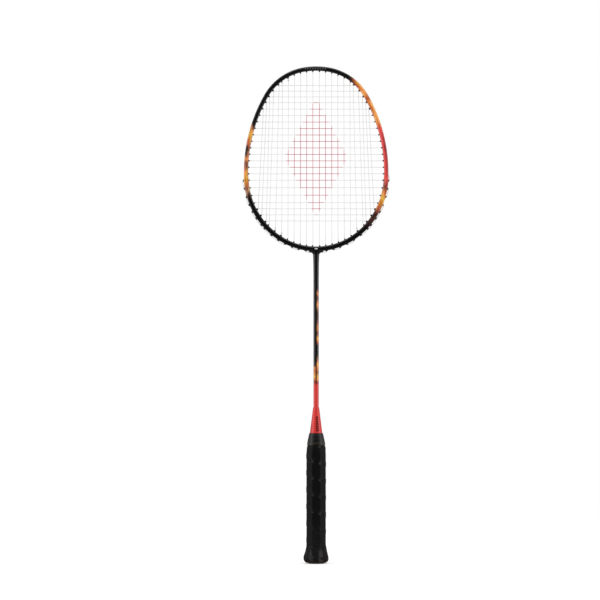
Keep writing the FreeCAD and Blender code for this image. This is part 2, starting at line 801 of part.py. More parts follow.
def make_grommets(holes, yoke):
    """The splayed ones at the throat are trimmed where they lie against the yoke."""
    splayed = [HOLES["bottom", 1, side] for side in (-1, 1)]
    solids = [hole.grommet().cut(yoke) if hole in splayed else hole.grommet() for hole in holes]
    return Part.makeCompound(solids)


def build():
    staple = make_staple()
    yoke = make_yoke()
    parts = {
        "head_hoop": make_hoop(),
        "throat_yoke": yoke,
        "throat_core": make_core(),
        "shaft": make_shaft(),
        "cone_cap": make_cone_cap(),
        "handle_core": make_handle_core(staple),
        "butt_cap": make_butt_cap(staple),
        "end_badge": make_badge(),
        "grip_wrap": make_grip(staple),
        "finishing_tape": make_tape(),
        "grip_staple": staple,
        "main_string": string_solid(main_route()),
        "cross_string": string_solid(cross_route()),
        "string_knots": make_knots(),
    }
    for name, holes in grommet_groups().items():
        parts[name] = make_grommets(holes, yoke)
    return parts


def export(parts):
    os.makedirs("parts", exist_ok=True)
    for name, shape in parts.items():
        valid = shape.isValid() and all(solid.isClosed() for solid in shape.Solids)
        print(f"{name}: {len(shape.Solids)} solids, {shape.Volume:.1f} mm3, valid {valid}")
        shape.exportStep(os.path.join("parts", name + ".step"))


export(build())
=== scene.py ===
"""Looks of the badminton racket: paint, strings, wound grip, tape, end badge, studio and camera.

Everything is in metres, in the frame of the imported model: +Z from the butt to the top of the head, and
-Y out of the front face.
"""
import math

import bmesh
import bpy
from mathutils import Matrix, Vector


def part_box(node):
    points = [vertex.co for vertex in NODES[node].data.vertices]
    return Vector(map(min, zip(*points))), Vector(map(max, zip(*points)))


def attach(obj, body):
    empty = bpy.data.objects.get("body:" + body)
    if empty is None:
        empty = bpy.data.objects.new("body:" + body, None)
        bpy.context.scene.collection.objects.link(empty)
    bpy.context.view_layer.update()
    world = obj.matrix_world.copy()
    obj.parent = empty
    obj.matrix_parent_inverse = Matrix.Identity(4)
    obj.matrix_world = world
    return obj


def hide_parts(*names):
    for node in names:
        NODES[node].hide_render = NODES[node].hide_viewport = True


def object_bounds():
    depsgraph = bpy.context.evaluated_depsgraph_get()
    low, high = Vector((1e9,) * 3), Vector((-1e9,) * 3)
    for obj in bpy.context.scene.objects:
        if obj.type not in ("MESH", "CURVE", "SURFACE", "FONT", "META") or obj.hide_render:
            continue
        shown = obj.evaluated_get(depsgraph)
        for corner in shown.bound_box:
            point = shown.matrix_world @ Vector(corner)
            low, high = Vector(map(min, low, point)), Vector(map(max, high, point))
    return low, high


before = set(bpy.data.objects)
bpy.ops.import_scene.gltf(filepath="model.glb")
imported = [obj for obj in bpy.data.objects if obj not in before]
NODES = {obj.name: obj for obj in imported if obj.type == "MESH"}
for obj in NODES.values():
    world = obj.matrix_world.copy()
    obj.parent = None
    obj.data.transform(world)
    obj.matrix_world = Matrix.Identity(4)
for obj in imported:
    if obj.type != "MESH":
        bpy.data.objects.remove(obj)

CAD_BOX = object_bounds()
MM = 0.001

# ---- the head's centreline, as in the CAD: (radius, end angle from the top in degrees)
TUBE_HALF = 2.9 * MM  # half the tube's width along its coloured part
HEAD_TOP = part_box("head_hoop")[1].z - TUBE_HALF
HEAD_CENTRE = 547.7 * MM  # height that the paint's angles are measured round
HEAD_ARCS = [(102.9 * MM, 8.8), (72.7 * MM, 60.3), (209.2 * MM, 92.6), (101.4 * MM, 145.2)]
LARGEST_RADIUS = 150 * MM  # a bound on the outline's distance from HEAD_CENTRE

# ---- marks: dashes at the top of the head, the diamond printed on the strings, the oval at the throat
DASHES_LEFT, DASHES_RIGHT, DASH_PITCH = -16.4 * MM, 14.4 * MM, 3.4 * MM
DASH_HEIGHT = HEAD_TOP - 0.3 * MM
DIAMOND_HALF_WIDTH, DIAMOND_HALF_HEIGHT, DIAMOND_MIDDLE = 43 * MM, 81 * MM, 551.5 * MM
OVAL_HALF_WIDTH, OVAL_HALF_HEIGHT, OVAL_MIDDLE = 2.1 * MM, 0.9 * MM, 427.4 * MM
BRAID_PITCH = 1.1 * MM

# ---- grip and tape
GRIP_PITCH = 22.8 * MM
GRIP_PHASE = 0.774  # turns; puts the seams where they are on the real handle
GRIP_OVERLAP = 0.17  # share of a turn that lies on the turn below
GRIP_STEP = 0.42 * MM  # how far an overlap stands out
GRIP_BOTTOM, GRIP_TOP = 1.2 * MM, 170.0 * MM
CREASE_PITCH = 2.7 * MM
# Each pair: the height where this begins, going down, and the height where it is at its full strength. The
# second pair places a painted highlight on the flare's ridges.
CREASED, FLARE_HIGHLIGHT_BAND, BROWN_RIM = (62 * MM, 40 * MM), (26 * MM, 14 * MM), (3.4 * MM, 1.8 * MM)
TAPE_BOTTOM, TAPE_TOP = 160.6 * MM, 177.0 * MM
TAPE_DOUBLED = (163.4 * MM, 174.6 * MM)  # the tape lies on itself between these
TAN_LINE = (161.2 * MM, 162.4 * MM), (165.2 * MM, 164.0 * MM)  # its foot and its top, each fading in

# ---- camera: level and square to the face
CAMERA_DISTANCE = 5.5
FRAME_WIDTH = 0.8152  # what the picture takes in across, at the racket
CAMERA_X, CAMERA_Z = -0.0219, 0.3577


# ---------------------------------------------------------------- colours and shader helpers
def linear(red, green, blue):
    """A screen colour from 0 to 255 as the linear colour that shaders use."""

    def channel(value):
        share = value / 255
        return share / 12.92 if share <= 0.04045 else ((share + 0.055) / 1.055) ** 2.4

    return (channel(red), channel(green), channel(blue), 1.0)


class Shader:
    """A material with short calls for the nodes used here. Sockets and plain numbers both serve as inputs."""

    def __init__(self, name):
        self.material = bpy.data.materials.new(name)
        self.material.use_nodes = True
        self.tree = self.material.node_tree
        self.bsdf = self.tree.nodes["Principled BSDF"]
        place = self.node("ShaderNodeTexCoord").outputs["Object"]
        self.place = place
        self.x, self.y, self.z = self.split(place)

    def node(self, kind, **settings):
        made = self.tree.nodes.new(kind)
        for key, value in settings.items():
            setattr(made, key, value)
        return made

    def put(self, socket, value):
        if isinstance(value, bpy.types.NodeSocket):
            self.tree.links.new(value, socket)
        else:
            socket.default_value = value

    def surface(self, **values):
        """Sets the shader's own sockets; an underscore in a name stands for a space."""
        for key, value in values.items():
            self.put(self.bsdf.inputs[key.replace("_", " ")], value)
        return self.material

    def split(self, vector):
        parts = self.node("ShaderNodeSeparateXYZ")
        self.put(parts.inputs[0], vector)
        return parts.outputs

    def vector(self, x, y, z):
        parts = self.node("ShaderNodeCombineXYZ")
        for socket, value in zip(parts.inputs, (x, y, z)):
            self.put(socket, value)
        return parts.outputs[0]

    def math(self, operation, first, second=0.0, third=0.0, clamp=False):
        made = self.node("ShaderNodeMath", operation=operation, use_clamp=clamp)
        for socket, value in zip(made.inputs, (first, second, third)):
            self.put(socket, value)
        return made.outputs[0]

    def step(self, value, low, high):
        """0 below low and 1 above high, smooth between; low may be the greater."""
        made = self.node("ShaderNodeMapRange", interpolation_type="SMOOTHSTEP")
        self.put(made.inputs["Value"], value)
        made.inputs["From Min"].default_value = low
        made.inputs["From Max"].default_value = high
        return made.outputs[0]

    def noise(self, vector, scale, detail=2.0, roughness=0.5):
        made = self.node("ShaderNodeTexNoise")
        self.put(made.inputs["Vector"], vector)
        made.inputs["Scale"].default_value = scale
        made.inputs["Detail"].default_value = detail
        made.inputs["Roughness"].default_value = roughness
        return made.outputs["Fac"]

    def mix(self, share, first, second, blend="MIX"):
        made = self.node("ShaderNodeMix", data_type="RGBA", blend_type=blend)
        self.put(made.inputs["Factor"], share)
        first_colour, second_colour, result = made.inputs[6], made.inputs[7], made.outputs[2]
        self.put(first_colour, first)
        self.put(second_colour, second)
        return result

    def product(self, masks):
        """All the masks, sockets or numbers, multiplied together."""
        result = masks[0]
        for mask in masks[1:]:
            result = self.math("MULTIPLY", result, mask)
        return result

    def ramp(self, value, stops, low, high):
        """A colour for a value between low and high. Stops are (value, screen colour)."""
        made = self.node("ShaderNodeValToRGB")
        scaled = self.node("ShaderNodeMapRange")
        self.put(scaled.inputs["Value"], value)
        scaled.inputs["From Min"].default_value = low
        scaled.inputs["From Max"].default_value = high
        self.put(made.inputs[0], scaled.outputs[0])
        elements = made.color_ramp.elements
        ordered = sorted(stops)
        for index, (place, colour) in enumerate(ordered):
            share = (place - low) / (high - low)
            element = elements[index] if index < 2 else elements.new(share)
            element.position = share
            element.color = linear(*colour)
        return made.outputs[0]

    def bump(self, height, distance, strength=1.0, normal=None):
        made = self.node("ShaderNodeBump")
        made.inputs["Strength"].default_value = strength
        made.inputs["Distance"].default_value = distance
        self.put(made.inputs["Height"], height)
        if normal is not None:
            self.put(made.inputs["Normal"], normal)
        return made.outputs[0]


def dress(node, material):
    """Gives a CAD node a material."""
    slots = NODES[node].data.materials
    slots.clear()
    slots.append(material)


# ---------------------------------------------------------------- paint
BLACK = (8, 8, 9)
CORAL = (222, 74, 70)
RED = (172, 50, 48)
DEEP_RED = (146, 38, 42)
SHAFT_RED = (206, 54, 50)
GOLD = (224, 162, 60)
AMBER = (208, 130, 48)
ORANGE = (226, 126, 58)
TAN = (238, 154, 82)
APRICOT = (244, 170, 90)
BRICK = (190, 92, 46)
BROWN = (134, 76, 54)
UMBER = (66, 36, 28)

# Angles are in degrees from level, through the middle of the head: 90 is the top.
RIGHT_OUTER = [
    (-90, BLACK), (-53, BLACK), (-46, UMBER), (-42, UMBER), (-38, (160, 92, 76)), (-34, AMBER),
    (-30, GOLD), (-26, BRICK), (-22, (140, 56, 42)), (-18, RED), (-14, CORAL), (-9, RED), (0, RED),
    (10, DEEP_RED), (18, RED), (25, CORAL), (29, ORANGE), (34, APRICOT), (38, APRICOT), (42, TAN),
    (46, TAN), (50, BRICK), (54, TAN), (58, APRICOT), (62, GOLD), (65, BRICK), (67, UMBER),
    (69, BLACK), (90, BLACK),
]
RIGHT_INNER = [
    (-90, BLACK), (-54, BLACK), (-48, UMBER), (-42, UMBER), (-38, BRICK), (-34, AMBER), (-30, GOLD),
    (-26, TAN), (-22, BROWN), (-18, (200, 98, 86)), (-14, CORAL), (27, CORAL), (30, ORANGE),
    (34, TAN), (38, TAN), (42, BRICK), (48, ORANGE), (51, BRICK), (54, TAN), (58, ORANGE),
    (62, BRICK), (66, UMBER), (68.5, BLACK), (90, BLACK),
]
LEFT_OUTER = [
    (-90, BLACK), (-31, BLACK), (-28, UMBER), (-25, (176, 124, 100)), (-22, BROWN), (-18, AMBER),
    (-14, GOLD), (-10, TAN), (-6, (190, 118, 86)), (-2, BROWN), (1.5, TAN), (4, UMBER), (5, BLACK),
    (9.5, BLACK), (11, UMBER), (13.5, (190, 110, 86)), (16, BRICK), (19, AMBER), (23, GOLD),
    (27, (196, 122, 80)), (29.5, UMBER), (31, BLACK), (90, BLACK),
]
LEFT_INNER = [
    (-90, BLACK), (-30, BLACK), (-27, UMBER), (-24, (180, 134, 96)), (-19, BRICK), (-14, GOLD),
    (-10, AMBER), (-6, BROWN), (-2, BROWN), (1, TAN), (5, (180, 122, 88)), (9, BROWN), (13, BRICK),
    (17, AMBER), (21, GOLD), (24, TAN), (26.5, BROWN), (28.5, BLACK), (90, BLACK),
]
# Heights are in millimetres above the butt.
SHAFT_RIGHT = [
    (212, SHAFT_RED), (243, SHAFT_RED), (246, (120, 40, 36)), (249, ORANGE), (254, GOLD), (259, BROWN),
    (263, ORANGE), (270, TAN), (276, (170, 112, 76)), (281, UMBER), (286, BLACK), (296, BLACK),
    (301, BRICK), (306, GOLD), (310, BROWN), (314, BROWN), (319, AMBER), (326, BROWN), (333, UMBER),
    (341, UMBER), (347, (170, 116, 76)), (352, TAN), (357, BROWN), (361, UMBER), (366, AMBER),
    (370, BROWN), (373, BLACK), (430, BLACK),
]
SHAFT_LEFT = [
    (212, SHAFT_RED), (243.5, SHAFT_RED), (246, (110, 36, 24)), (249, BRICK), (253, GOLD), (258, AMBER),
    (262, BRICK), (266, AMBER), (269, UMBER), (275, BLACK), (430, BLACK),
]
SHAFT_MIDDLE = [
    (212, SHAFT_RED), (241.5, SHAFT_RED), (244.5, (90, 26, 14)), (250, UMBER), (258, (96, 50, 24)),
    (264, UMBER), (268, (26, 12, 8)), (276, BLACK), (430, BLACK),
]


def head_radius(angle):
    """Distance of the tube's centreline from the middle of the head, at an angle from level in degrees."""
    sines = [math.sin(math.radians(end)) for _, end in HEAD_ARCS]
    half_width = sum(
        arc[0] * (sine - before) for arc, sine, before in zip(HEAD_ARCS, sines, [0.0] + sines)
    )
    x, z, start = 0.0, HEAD_TOP, 0.0
    points = []
    for radius, end in HEAD_ARCS + [(half_width / sines[-1], 180.0)]:
        for k in range(41):
            turn = math.radians(start + (end - start) * k / 40)
            across = radius * (math.sin(turn) - math.sin(math.radians(start)))
            down = radius * (math.cos(turn) - math.cos(math.radians(start)))
            points.append((x + across, z + down))
        x, z = points[-1]
        start = end

    def miss(point):
        return abs(math.degrees(math.atan2(point[1] - HEAD_CENTRE, max(point[0], 1e-9))) - angle)

    nearest = min(points, key=miss)
    return math.hypot(nearest[0], nearest[1] - HEAD_CENTRE)


def finish_paint(shader, colour, coat=0.35):
    """Clear-coated paint: a trace of flake, soft orange peel and faint handling marks."""
    flake = shader.noise(shader.place, 2600.0, 1.0)
    peel = shader.noise(shader.place, 420.0, 2.0)
    drawn_out = shader.vector(shader.x, shader.y, shader.math("MULTIPLY", shader.z, 0.2))
    scuffs = shader.noise(drawn_out, 900.0, 3.0)
    darker = shader.mix(1.0, colour, (0.8, 0.8, 0.82, 1), "MULTIPLY")
    wear = shader.step(scuffs, 0.45, 0.75)
    return shader.surface(
        Base_Color=shader.mix(shader.step(flake, 0.35, 0.75), colour, darker),
        Roughness=shader.math("MULTIPLY_ADD", wear, 0.10, 0.24),
        Coat_Weight=coat,
        Specular_IOR_Level=0.35,
        Coat_Roughness=0.05,
        Normal=shader.bump(peel, 0.00002, 0.5),
    )


def streaked(shader, colour, along, across, strength):
    """Fine slanted dabs, some darker and some lighter. Along and across are in dab lengths and widths."""
    lean = shader.math("MULTIPLY_ADD", across, 0.45, along)
    dabs = shader.noise(shader.vector(lean, across, 0.0), 1.0, 3.0, 0.65)
    hairs = shader.noise(shader.vector(lean, shader.math("MULTIPLY", across, 2.6), 7.0), 1.3, 2.0, 0.5)
    dark = shader.math("MULTIPLY", shader.step(dabs, 0.46, 0.39), strength)
    thin = shader.math("MULTIPLY", shader.step(hairs, 0.39, 0.34), strength)
    light = shader.math("MULTIPLY", shader.step(dabs, 0.53, 0.60), strength)
    colour = shader.mix(dark, colour, (0.66, 0.42, 0.40, 1), "MULTIPLY")
    colour = shader.mix(shader.math("MULTIPLY", thin, 0.7), colour, (0.34, 0.22, 0.24, 1), "MULTIPLY")
    return shader.mix(light, colour, (1.12, 1.5, 1.2, 1), "MULTIPLY")


def place_on_hoop(shader):
    """The angle from level in degrees, and the place across the tube: -1 inside the head, 1 outside it."""
    above = shader.math("SUBTRACT", shader.z, HEAD_CENTRE)
    aside = shader.math("ABSOLUTE", shader.x)
    angle = shader.math("MULTIPLY", shader.math("ARCTAN2", above, aside), 180 / math.pi)
    squares = shader.math("MULTIPLY_ADD", above, above, shader.math("MULTIPLY", aside, aside))
    distance = shader.math("SQRT", squares)
    curve = shader.node("ShaderNodeFloatCurve")
    line = curve.mapping.curves[0]
    angles = range(-90, 91, 15)
    for index, at in enumerate(angles):
        place = ((at + 90) / 180, head_radius(at) / LARGEST_RADIUS)
        if index in (0, len(angles) - 1):
            line.points[min(index, 1)].location = place
        else:
            line.points.new(*place)
    curve.mapping.update()
    shader.put(curve.inputs["Value"], shader.math("MULTIPLY_ADD", angle, 1 / 180, 0.5))
    middle = shader.math("MULTIPLY", curve.outputs[0], LARGEST_RADIUS)
    return angle, shader.math("DIVIDE", shader.math("SUBTRACT", distance, middle), TUBE_HALF)


def hoop_paint():
    """Black with a band of gold, orange and coral along each side, broken by slanted streaks."""
    shader = Shader("painted_hoop")
    angle, across = place_on_hoop(shader)
    wide_noise = shader.noise(shader.vector(shader.math("MULTIPLY", angle, 0.10), across, 0.0), 1.6, 3.0, 0.6)
    moved = shader.math("ADD", angle, shader.math("MULTIPLY_ADD", wide_noise, 4.0, -2.0))
    boundary = shader.math("MULTIPLY_ADD", wide_noise, 0.8, shader.math("SUBTRACT", across, 0.4))
    outside = shader.step(boundary, -0.2, 0.3)
    right = shader.mix(
        outside, shader.ramp(moved, RIGHT_INNER, -90, 90), shader.ramp(moved, RIGHT_OUTER, -90, 90)
    )
    left = shader.mix(
        outside, shader.ramp(moved, LEFT_INNER, -90, 90), shader.ramp(moved, LEFT_OUTER, -90, 90)
    )
    on_right = shader.step(shader.x, -0.002, 0.002)
    colour = shader.mix(on_right, left, right)
    clean = shader.math("MULTIPLY", shader.step(angle, -16, -11), shader.step(angle, 29, 25))
    clean = shader.math("MULTIPLY", clean, on_right)
    strength = shader.math("MULTIPLY_ADD", clean, -0.75, 1.0)
    along = shader.math("MULTIPLY_ADD", on_right, 37.0, shader.math("MULTIPLY", angle, 0.16))
    round_tube = shader.math("MULTIPLY_ADD", shader.y, 420.0, shader.math("MULTIPLY", across, 1.6))
    colour = streaked(shader, colour, along, round_tube, strength)
    return finish_paint(shader, dashes(shader, colour))


def on_front(shader):
    """1 on the front of the head's tube, 0 on its sides and back."""
    return shader.step(shader.y, -3.6 * MM, -4.2 * MM)


def dashes(shader, colour):
    """A row of short plain grey dashes at the top of the head, on the front."""
    spaced = shader.math("PINGPONG", shader.math("SUBTRACT", shader.x, DASHES_LEFT), DASH_PITCH / 2)
    off_row = shader.math("ABSOLUTE", shader.math("SUBTRACT", shader.z, DASH_HEIGHT))
    marks = [
        shader.step(spaced, 0.3 * DASH_PITCH, 0.4 * DASH_PITCH),
        shader.step(shader.x, DASHES_LEFT, DASHES_LEFT + 0.2 * MM),
        shader.step(shader.x, DASHES_RIGHT, DASHES_RIGHT - 0.2 * MM),
        shader.step(off_row, 0.8 * MM, 0.6 * MM),
        on_front(shader),
        0.3,
    ]
    return shader.mix(shader.product(marks), colour, linear(205, 205, 206))


def throat_paint():
    """Black, with one small plain oval on the front."""
    shader = Shader("painted_throat")
    wide = shader.math("DIVIDE", shader.x, OVAL_HALF_WIDTH)
    high = shader.math("DIVIDE", shader.math("SUBTRACT", shader.z, OVAL_MIDDLE), OVAL_HALF_HEIGHT)
    oval = shader.math("MULTIPLY_ADD", wide, wide, shader.math("MULTIPLY", high, high))
    mask = shader.product([shader.step(oval, 1.15, 0.85), on_front(shader)])
    mottle = shader.noise(shader.place, 300.0, 2.0)
    black = shader.mix(mottle, linear(*BLACK), linear(12, 12, 13))
    return finish_paint(shader, shader.mix(mask, black, linear(200, 200, 202)))


def turn_from_front(shader):
    """Radians round the shaft's axis: 0 is the front, and the racket's right side is positive."""
    return shader.math("ARCTAN2", shader.x, shader.math("MULTIPLY", shader.y, -1.0))


def shaft_paint():
    """Black with tan and orange streaks up one side, turning red in the lower part."""
    shader = Shader("painted_shaft")
    height = shader.math("DIVIDE", shader.z, MM)
    turn = turn_from_front(shader)
    place = shader.vector(shader.math("MULTIPLY", turn, 1.2), 0.0, shader.math("MULTIPLY", height, 0.11))
    wide_noise = shader.noise(place, 1.5, 3.0, 0.6)
    moved = shader.math("ADD", height, shader.math("MULTIPLY_ADD", wide_noise, 5.0, -2.5))
    edge = shader.math("MULTIPLY_ADD", wide_noise, 0.5, shader.math("SUBTRACT", turn, 0.25))
    right = shader.product([shader.step(edge, 0.08, 0.40), shader.step(edge, 2.9, 2.3)])
    left = shader.product([shader.step(edge, -0.05, -0.35), shader.step(edge, -2.9, -2.3)])
    colour = shader.mix(
        right, shader.ramp(moved, SHAFT_MIDDLE, 212, 430), shader.ramp(moved, SHAFT_RIGHT, 212, 430)
    )
    colour = shader.mix(left, colour, shader.ramp(moved, SHAFT_LEFT, 212, 430))
    along = shader.math("MULTIPLY", height, 0.16)
    strength = shader.math("MULTIPLY_ADD", shader.step(height, 242.0, 248.0), 0.8, 0.1)
    colour = streaked(shader, colour, along, shader.math("MULTIPLY", turn, 2.2), strength)
    return finish_paint(shader, colour)


def cone_paint():
    """Coral red, with a column of plain black bars on the front and a shorter one on the left."""
    shader = Shader("painted_cone")
    height = shader.math("DIVIDE", shader.z, MM)
    turn = turn_from_front(shader)
    foot, half_pitch = 179.0, 1.3
    spaced = shader.math("PINGPONG", shader.math("SUBTRACT", height, foot), half_pitch)
    bars = shader.step(spaced, 0.35, 0.55)
    columns = [(0.22, 0.30, 200.3), (-1.32, 0.22, 190.0)]  # (turn, half width in radians, top)
    colour = shader.mix(shader.noise(shader.place, 240.0, 2.0), linear(200, 46, 42), linear(210, 52, 46))
    for middle, half_width, top in columns:
        aside = shader.math("ABSOLUTE", shader.math("SUBTRACT", turn, middle))
        mask = [
            bars,
            shader.step(aside, half_width + 0.02, half_width - 0.02),
            shader.step(height, foot - 0.2, foot),
            shader.step(height, top, top - 0.2),
        ]
        colour = shader.mix(shader.product(mask), colour, linear(28, 8, 10))
    return finish_paint(shader, colour, coat=0.2)


# ---------------------------------------------------------------- strings, grommets and hidden pieces
def string_material(name, run):
    """White nylon with a fine braid along its run, and a printed diamond in the middle of the head."""
    shader = Shader(name)
    along = {"x": shader.x, "z": shader.z}[run]
    other = {"x": shader.z, "z": shader.x}[run]
    lead = shader.math("MULTIPLY_ADD", shader.y, 0.7, along)
    twist = shader.math("SINE", shader.math("MULTIPLY", lead, 2 * math.pi / BRAID_PITCH))
    stretched = shader.vector(
        shader.math("MULTIPLY", along, 600.0),
        shader.math("MULTIPLY", other, 6000.0),
        shader.math("MULTIPLY", shader.y, 6000.0),
    )
    fibre = shader.noise(stretched, 1.0, 2.0)
    wide = shader.math("DIVIDE", shader.math("ABSOLUTE", shader.x), DIAMOND_HALF_WIDTH)
    off_middle = shader.math("ABSOLUTE", shader.math("SUBTRACT", shader.z, DIAMOND_MIDDLE))
    high = shader.math("DIVIDE", off_middle, DIAMOND_HALF_HEIGHT)
    edge = shader.math("ADD", wide, shader.math("MULTIPLY_ADD", fibre, 0.02, high))
    ink = shader.product([shader.step(edge, 1.04, 1.0), shader.step(fibre, 0.15, 0.25)])
    plain = shader.mix(shader.step(fibre, 0.3, 0.7), linear(222, 222, 221), linear(206, 207, 208))
    return shader.surface(
        Base_Color=shader.mix(ink, plain, linear(186, 38, 80)),
        Roughness=0.34,
        Coat_Weight=0.2,
        Normal=shader.bump(shader.math("MULTIPLY_ADD", twist, 0.5, fibre), 0.00003, 0.6),
    )


def plastic(name, colour, roughness, grain, depth=0.00003):
    """Moulded plastic: a fine even grain, slightly mottled."""
    shader = Shader(name)
    fine = shader.noise(shader.place, grain, 2.0)
    broad = shader.noise(shader.place, 180.0, 3.0)
    lighter = tuple(min(255, value + 9) for value in colour)
    return shader.surface(
        Base_Color=shader.mix(shader.step(broad, 0.3, 0.7), linear(*colour), linear(*lighter)),
        Roughness=shader.math("MULTIPLY_ADD", broad, 0.12, roughness),
        Normal=shader.bump(fine, depth, 0.6),
    )


def metal(name, colour, roughness):
    """Bare metal with a fine brushed grain."""
    shader = Shader(name)
    drawn_out = shader.vector(shader.math("MULTIPLY", shader.x, 40.0), shader.y, shader.z)
    grain = shader.noise(drawn_out, 900.0, 3.0)
    return shader.surface(
        Base_Color=shader.mix(grain, linear(*colour), linear(*[int(v * 0.8) for v in colour])),
        Metallic=1.0,
        Roughness=shader.math("MULTIPLY_ADD", grain, 0.2, roughness),
    )


def wood():
    """Straight-grained pale wood."""
    shader = Shader("handle_timber")
    stretched = shader.vector(shader.x, shader.y, shader.math("MULTIPLY", shader.z, 0.06))
    rings = shader.noise(stretched, 520.0, 4.0, 0.6)
    pores = shader.noise(stretched, 2600.0, 2.0)
    grain = shader.mix(shader.step(rings, 0.35, 0.7), linear(196, 150, 98), linear(150, 104, 60))
    return shader.surface(
        Base_Color=shader.mix(shader.step(pores, 0.6, 0.75), grain, linear(110, 74, 42)),
        Roughness=0.62,
        Normal=shader.bump(rings, 0.0001, 0.5),
    )


def grip_material():
    """Black polyurethane strip: tiny pits and creases near the butt, with painted highlights on the seams,
    the crease crests, the ridges where a seam crosses them and the flare's ridges.
    """
    shader = Shader("grip_polyurethane")
    turn = shader.math("DIVIDE", shader.math("ARCTAN2", shader.y, shader.x), 2 * math.pi)
    wound = shader.math("ADD", shader.math("DIVIDE", shader.z, GRIP_PITCH), turn)
    strip = shader.math("FRACT", shader.math("ADD", wound, 10 - GRIP_PHASE))
    mottling = shader.noise(shader.place, 160.0, 4.0, 0.6)
    over_strip = shader.vector(
        shader.math("MULTIPLY", strip, 6.0), shader.math("MULTIPLY", turn, 8.0), 0.0
    )
    dimples = shader.noise(over_strip, 2.0, 3.0)
    pulled = shader.math("MULTIPLY_ADD", mottling, 3.0, shader.math("DIVIDE", shader.z, CREASE_PITCH))
    creases = shader.math("SINE", shader.math("MULTIPLY", pulled, 2 * math.pi))
    creased = shader.step(shader.z, *CREASED)
    crease_highlight = shader.math("MULTIPLY", shader.step(creases, 0.3, 1.0), creased)
    eighth = shader.math("FRACT", shader.math("MULTIPLY", shader.math("ADD", turn, 1.0), 8.0))
    off_ridge = shader.math("ABSOLUTE", shader.math("SUBTRACT", eighth, 0.5))

    colour = shader.mix(shader.step(mottling, 0.3, 0.7), linear(9, 7, 8), linear(13, 11, 11))
    # Painted highlight: a lighter line along each seam, standing in for light on the strip's overlapping
    # edge.
    edge = shader.math("MAXIMUM", shader.step(strip, 0.05, 0.0), shader.step(strip, 0.985, 1.0))
    colour = shader.mix(edge, colour, linear(18, 16, 16))
    # Painted highlight: the crests of the creases near the butt are drawn lighter.
    colour = shader.mix(crease_highlight, colour, linear(24, 22, 22))
    # Painted highlight: light grey spots on the octagon's ridges where a seam crosses them, standing in for
    # light caught there.
    painted_ridge_highlight = shader.product([
        shader.step(off_ridge, 0.24, 0.06),
        shader.math("MAXIMUM", shader.step(strip, 0.16, 0.02), shader.step(strip, 0.92, 1.0)),
        shader.step(dimples, 0.36, 0.62),
        shader.step(shader.noise(shader.place, 34.0), 0.34, 0.56),
    ])
    colour = shader.mix(painted_ridge_highlight, colour, linear(70, 68, 68))
    # Painted highlight: lighter patches on the flare's ridges, where they would catch the light.
    painted_flare_highlight = shader.product([
        shader.step(off_ridge, 0.34, 0.10),
        shader.step(shader.z, *FLARE_HIGHLIGHT_BAND),
        shader.step(mottling, 0.42, 0.58),
    ])
    colour = shader.mix(painted_flare_highlight, colour, linear(52, 49, 49))

    pits = shader.node("ShaderNodeTexVoronoi")
    pits.inputs["Scale"].default_value = 1000.0
    shader.put(pits.inputs["Vector"], shader.place)
    relief = shader.bump(shader.step(pits.outputs["Distance"], 0.0, 0.45), 0.00006, 0.5)
    relief = shader.bump(mottling, 0.0003, 0.35, relief)
    relief = shader.bump(dimples, 0.0003, 0.3, relief)
    relief = shader.bump(shader.math("MULTIPLY", creases, creased), 0.0003, 0.6, relief)
    return shader.surface(
        Base_Color=shader.mix(shader.step(shader.z, *BROWN_RIM), colour, linear(54, 38, 20)),
        Roughness=shader.math("MULTIPLY_ADD", mottling, 0.15, 0.42),
        Specular_IOR_Level=0.125,
        Normal=relief,
    )


def tape_material():
    """Stretched vinyl tape: smoother than the grip, fine lines round it and a dull tan line near its foot."""
    shader = Shader("finishing_vinyl")
    flattened = shader.vector(
        shader.math("MULTIPLY", shader.x, 60.0),
        shader.math("MULTIPLY", shader.y, 60.0),
        shader.math("MULTIPLY", shader.z, 2600.0),
    )
    lines = shader.noise(flattened, 1.0, 3.0)
    broad = shader.noise(shader.place, 240.0, 3.0)
    black = shader.mix(shader.step(broad, 0.3, 0.7), linear(11, 10, 12), linear(18, 17, 18))
    tan_line = shader.product([shader.step(shader.z, *fade) for fade in TAN_LINE])
    return shader.surface(
        Base_Color=shader.mix(tan_line, black, linear(38, 28, 17)),
        Specular_IOR_Level=0.35,
        Roughness=shader.math("MULTIPLY_ADD", lines, 0.14, 0.26),
        Normal=shader.bump(shader.math("MULTIPLY_ADD", lines, 0.6, broad), 0.00012, 0.45),
    )


# ---------------------------------------------------------------- pieces built here
def new_piece(name, bm, material, smooth=True):
    """An object made from a finished bmesh, with one material."""
    mesh = bpy.data.meshes.new(name)
    bm.to_mesh(mesh)
    bm.free()
    for face in mesh.polygons:
        face.use_smooth = smooth
    mesh.materials.append(material)
    piece = bpy.data.objects.new(name, mesh)
    bpy.context.scene.collection.objects.link(piece)
    return piece


def between(table, height):
    """Values interpolated smoothly from rows of (height, value, value...)."""
    if height <= table[0][0]:
        return table[0][1:]
    for low, high in zip(table, table[1:]):
        if height <= high[0]:
            share = (height - low[0]) / (high[0] - low[0])
            share = share * share * (3 - 2 * share) * 0.5 + share * 0.5
            return tuple(a + (b - a) * share for a, b in zip(low[1:], high[1:]))
    return table[-1][1:]


def octagon_reach(turn, across, corner):
    """Distance from the axis to a rounded octagon's edge, in the direction turn (radians)."""
    local = (turn + math.pi / 8) % (math.pi / 4) - math.pi / 8
    flat = across / 2
    centre_x = flat - corner
    centre_y = centre_x * math.tan(math.pi / 8) * (1 if local > 0 else -1)
    if abs(flat * math.tan(local)) <= abs(centre_y):
        return flat / math.cos(local)
    lead = math.cos(local) * centre_x + math.sin(local) * centre_y
    return lead + math.sqrt(max(corner**2 - centre_x**2 - centre_y**2 + lead**2, 0.0))


